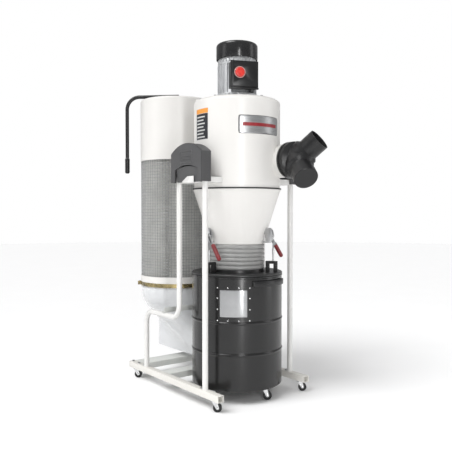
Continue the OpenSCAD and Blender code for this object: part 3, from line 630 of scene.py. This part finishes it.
ORANGE = mat("label_orange", (0.80, 0.33, 0.06), (0.72, 0.28, 0.05), rough=(0.4, 0.5), vscale=50)
PALE = mat("label_pale", (0.62, 0.63, 0.62), (0.56, 0.57, 0.56), rough=(0.45, 0.55), vscale=50)
INK = mat("label_black", (0.02, 0.022, 0.028), (0.015, 0.016, 0.02), rough=(0.4, 0.5), vscale=50)
bm = bmesh.new()
cyl_patch(bm, 0, CY, 0.1988, 0.1994, 166, 192, 1.165, 1.302, corner=0.002)
add("label_base", bm, PALE, "frame_body", angle=60)
bm = bmesh.new()
cyl_patch(bm, 0, CY, 0.1990, 0.1996, 166.3, 191.7, 1.281, 1.3017, corner=0.002)
add("label_header", bm, ORANGE, "frame_body", angle=60)
bm = bmesh.new()
cyl_patch(bm, 0, CY, 0.1990, 0.1996, 166.6, 191.4, 1.1665, 1.2795, corner=0.001)
add("label_panel", bm, INK, "frame_body", angle=60)
bm = bmesh.new()
for k in range(7):
    z = 1.2655 - 0.0148 * k
    cyl_patch(bm, 0, CY, 0.1992, 0.1998, 168.5, 183.5 if k % 2 else 186.0, z - 0.0028, z + 0.0028, na=10, nz=2)
add("label_bars", bm, PALE, "frame_body", angle=60)
done.add("blank_plates")

# ---- drum window: bowed clear pane and domed rivets
bm = bmesh.new()
cyl_patch(bm, 0, CY, 0.2083, 0.2099, -132.8 - 16.6, -132.8 + 16.6, 0.3875, 0.5045, corner=0.002, edge=0.0005)
add("window_pane", bm, M["window_clear"], "drum_unit", angle=60, replace="drum_window")
bm = bmesh.new()
for a in (-19.9, -6.7, 6.7, 19.9):
    for z in (0.371, 0.420, 0.469, 0.514):
        if abs(a) > 10 or z < 0.4 or z > 0.5:
            c, s_ = cs(-132.8 + a)
            R_ = Matrix.Translation((0.2083 * c, CY + 0.2083 * s_, z)) @ Matrix.Rotation(math.radians(-132.8 + a), 4, "Z") @ Matrix.Rotation(pi / 2, 4, "Y")
            t = bmesh.new()
            lathe(t, [(0.0, 0.0021), (0.0012, 0.0020), (0.0024, 0.0015), (0.0034, 0.0006), (0.0036, -0.0001), (0.0, -0.0001)], 0, 0, n=20, closed=False)
            bmesh.ops.remove_doubles(t, verts=t.verts, dist=1e-6)
            t.transform(R_)
            tm = bpy.data.meshes.new("t")
            t.to_mesh(tm)
            t.free()
            bm.from_mesh(tm)
add("window_rivets", bm, M["bright_steel"], "drum_unit", angle=60)
done.add("drum_window")

# ---- collection bag: one film shell, round at the band and flat at its bottom seam
random.seed(4)
AX = [(0.4553, 0.1880, 0.1880), (0.44, 0.1876, 0.1882), (0.41, 0.183, 0.187), (0.38, 0.172, 0.1870), (0.35, 0.150, 0.187), (0.32, 0.118, 0.187),
      (0.29, 0.080, 0.187), (0.27, 0.055, 0.187), (0.25, 0.036, 0.187), (0.22, 0.022, 0.188), (0.18, 0.014, 0.189), (0.14, 0.007, 0.190), (0.107, 0.0016, 0.191)]


def prof_at(z):
    for (za, aa, ba), (zb, ab, bb) in zip(AX, AX[1:]):
        if zb <= z <= za:
            t = (za - z) / (za - zb)
            return aa + (ab - aa) * t, ba + (bb - ba) * t
    return AX[-1][1:]


bm = bmesh.new()
nz_, na_ = 90, 180
grid = []
for j in range(nz_ + 1):
    z = 0.4553 + (0.107 - 0.4553) * j / nz_
    # smooth the section with its neighbours
    aa = sum(prof_at(min(0.4553, max(0.107, z + d)))[0] for d in (-0.012, -0.006, 0, 0.006, 0.012)) / 5
    bb = sum(prof_at(min(0.4553, max(0.107, z + d)))[1] for d in (-0.012, -0.006, 0, 0.006, 0.012)) / 5
    t = j / nz_
    pw = 1.0 + 0.0 * t
    row = []
    for i in range(na_):
        a = 2 * pi * i / na_
        c, s_ = math.cos(a), math.sin(a)
        x = aa * c
        y = bb * s_
        # vertical gathers under the band fade into long diagonal folds
        w = 0.0022 * math.sin(a * 26 + 1.7 * math.sin(3 * a)) * math.exp(-t * 9)
        w += 0.0042 * math.exp(-((t - 0.30) / 0.22) ** 2) * noise.noise(Vector((c * 2.2, s_ * 2.2, z * 5 + 3)))
        w += 0.006 * math.sin(pi * min(1, t * 1.05)) * noise.noise(Vector((c * 3.1 + 7, s_ * 3.1, z * 9)))
        if t > 0.35:
            u = (t - 0.35) / 0.65
            # a crease from the far side of the bulge to the near bottom corner
            d = (y / 0.19) * 0.72 - (0.62 - 1.35 * u)
            fold = 0.012 * math.exp(-(d / 0.16) ** 2) - 0.006 * math.exp(-((d - 0.42) / 0.22) ** 2)
            w += fold * (1 - u) ** 0.6 * min(1, u * 5) * (1 if c < 0 else 0.6)
        nx, ny = c, s_ * (0.35 if t > 0.5 else 1)
        row.append(bm.verts.new((x + nx * w, FY + y + ny * w * 0.4, z + 0.002 * noise.noise(Vector((0, y * 9, 1))) * t)))
    grid.append(row)
for j in range(nz_):
    for i in range(na_):
        k = (i + 1) % na_
        bm.faces.new((grid[j][i], grid[j + 1][i], grid[j + 1][k], grid[j][k]))
area_bag = sum(f.calc_area() for f in bm.faces)
bag = add("bag_shell", bm, M["bag_film"], "frame_body", angle=60, replace="collection_bag")
bm = bmesh.new()
rbox(bm, (-0.0016, FY - 0.190, 0.1055), (0.0016, FY + 0.190, 0.113), 0.0007, 2)
add("bag_seam", bm, M["bag_film"], "frame_body", angle=60)
done.add("collection_bag")

# ---- nodes that keep their shape and get smooth shading
for n in ("side_frames", "cyclone_barrel", "cyclone_cone", "vortex_tube", "flange_gasket", "port_cap", "y_connector",
          "motor_stator", "motor_bearings", "rotor_shaft", "impeller", "filter_head", "filter_collar", "cleaning_paddles", "drum",
          "drum_lid", "band_clamp"):
    dress(n)
    done.add(n)
for n in N:
    if n.startswith(("base_wheel", "drum_wheel")):
        dress(n)
        done.add(n)
    if n.startswith(("base_fork", "drum_fork")):
        refine(n, 0.0005, 2)
        done.add(n)
for n, b in (("base_rails", 0.0016), ("base_cross_members", 0.0014), ("arm_cross_brace", 0.001), ("barrel_brackets", 0.0009), ("blower_top_plate", 0.0008),
             ("outlet_duct", 0.003), ("motor_housing", 0.0006), ("fan_cover", 0.0007), ("switch_box", 0.0022),
             ("switch_box_cover", 0.0024), ("clamp_brackets", 0.0007), ("drum_handles", 0.0028), ("band_latch", 0.0008),
             ("power_button", 0.0016), ("frame_bolts", 0.0004)):
    refine(n, b)
    done.add(n)

# ---- clamp levers: steel arm and dipped grip in their own materials
for n in ("clamp_lever_1", "clamp_lever_2", "clamp_lever_3"):
    o = refine(n, 0.0012, 3)
    o.data.materials.append(M["zinc_steel"])
    joint = next(j for j in frame["record"]["behaviour"]["joints"] if j["child"] == BODY[n])
    P = Vector(joint["pos_m"])
    for p in o.data.polygons:
        c = o.data.vertices[p.vertices[0]].co
        if sum((o.data.vertices[v].co - P).length for v in p.vertices) / len(p.vertices) < 0.0605:
            p.material_index = 1
    done.add(n)
o = refine("clamp_draw_rods", 0.0012, 3)
o.data.materials.append(M["zinc_steel"])
for p in o.data.polygons:
    if sum(o.data.vertices[v].co.z for v in p.vertices) / len(p.vertices) > 0.6195:
        p.material_index = 1
done.add("clamp_draw_rods")

# ---- bezel of the power button; its pale pink colour is a painted highlight standing in for light on the button's rim
bm = bmesh.new()
lathe(bm, [(0.0216, 0.0), (0.0216, 0.0022), (0.0225, 0.0030), (0.0240, 0.0030), (0.0252, 0.0022), (0.0256, 0.0)], 0, 0, n=64)
ab = math.radians(-113.3)
Q = Matrix.Translation((0, CY, 0)) @ Matrix.Rotation(ab + pi / 2, 4, "Z") @ Matrix.Translation((-0.0236, -0.1350, 1.460)) @ Matrix.Rotation(pi / 2, 4, "X")
bm.transform(Q)
# pale pink ring colour: painted highlight of the button's bevel, not a bezel colour of its own
add("button_bezel", bm, mat("bezel_painted_highlight", (0.55, 0.30, 0.28), (0.48, 0.25, 0.24), rough=(0.3, 0.4), vscale=60), "frame_body")

for n in N:
    if n not in done:
        dress(n)
